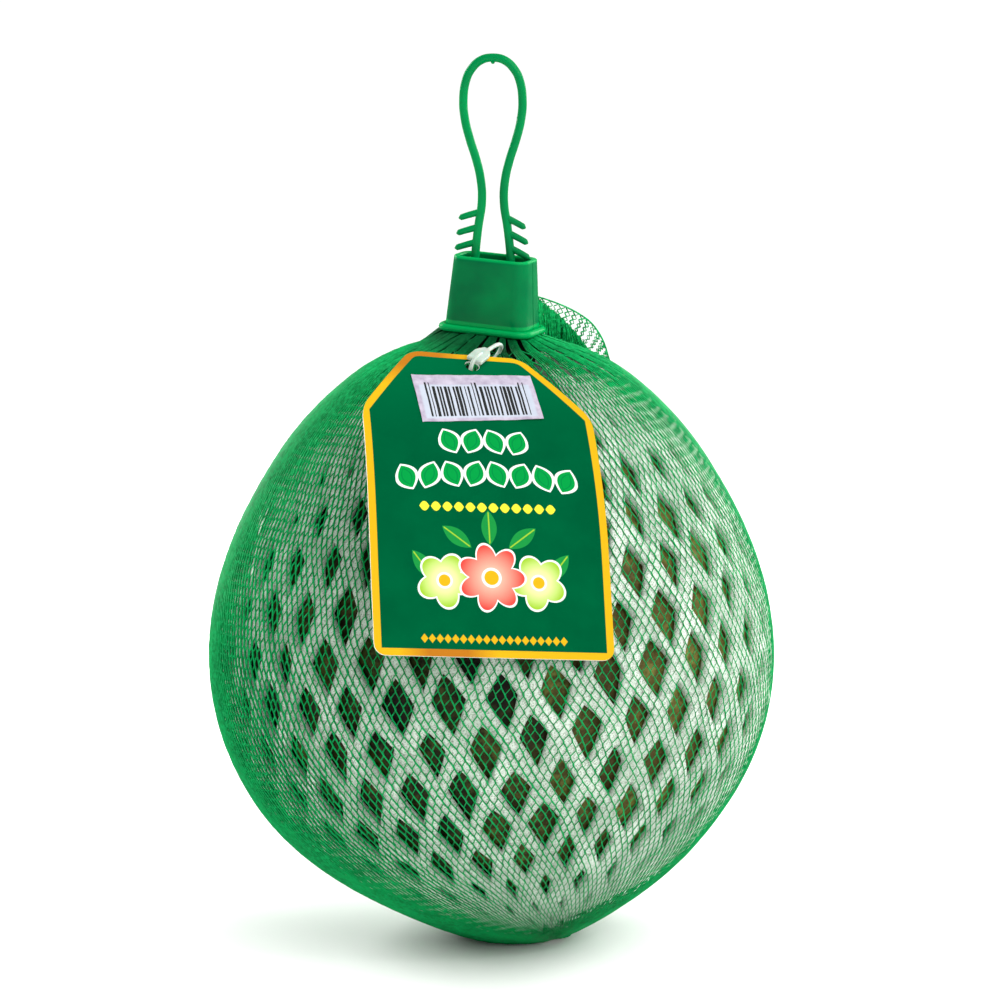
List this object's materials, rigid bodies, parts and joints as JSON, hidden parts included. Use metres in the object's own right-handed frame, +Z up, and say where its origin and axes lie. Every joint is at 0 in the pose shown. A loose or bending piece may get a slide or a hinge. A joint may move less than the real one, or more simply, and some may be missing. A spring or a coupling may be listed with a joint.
{
  "type": "pomelo",
  "caption": "Fresh pomelo in a white foam net sleeve and a green mesh carry bag, gathered into a moulded collar with a barbed carrying loop, with a blank hang tag and a sticker",
  "frame": {"origin": "on the ground, inside the flat foot of the bag, below the middle of the fruit", "axes": "+Z up through the collar and the loop, -Y towards the side that carries the tag, +X to the right of that side"},
  "size_m": [0.1534, 0.164, 0.2394],
  "materials": {
    "peel": "waxy pitted peel",
    "foam": "soft closed-cell foam",
    "net": "satin extruded strand",
    "collar_plastic": "satin moulded",
    "loop_plastic": "satin moulded",
    "tag_card": "laminated print",
    "sticker": "silvery label stock",
    "pin_plastic": "milky moulded"
  },
  "bodies": {
    "root": {"pomelo": "peel", "foam_sleeve": "foam", "net_bag": "net", "collar": "collar_plastic", "handle_loop": "loop_plastic", "hang_tag": "tag_card", "tag_sticker": "sticker", "tag_pin": "pin_plastic"}
  },
  "joints": []
}
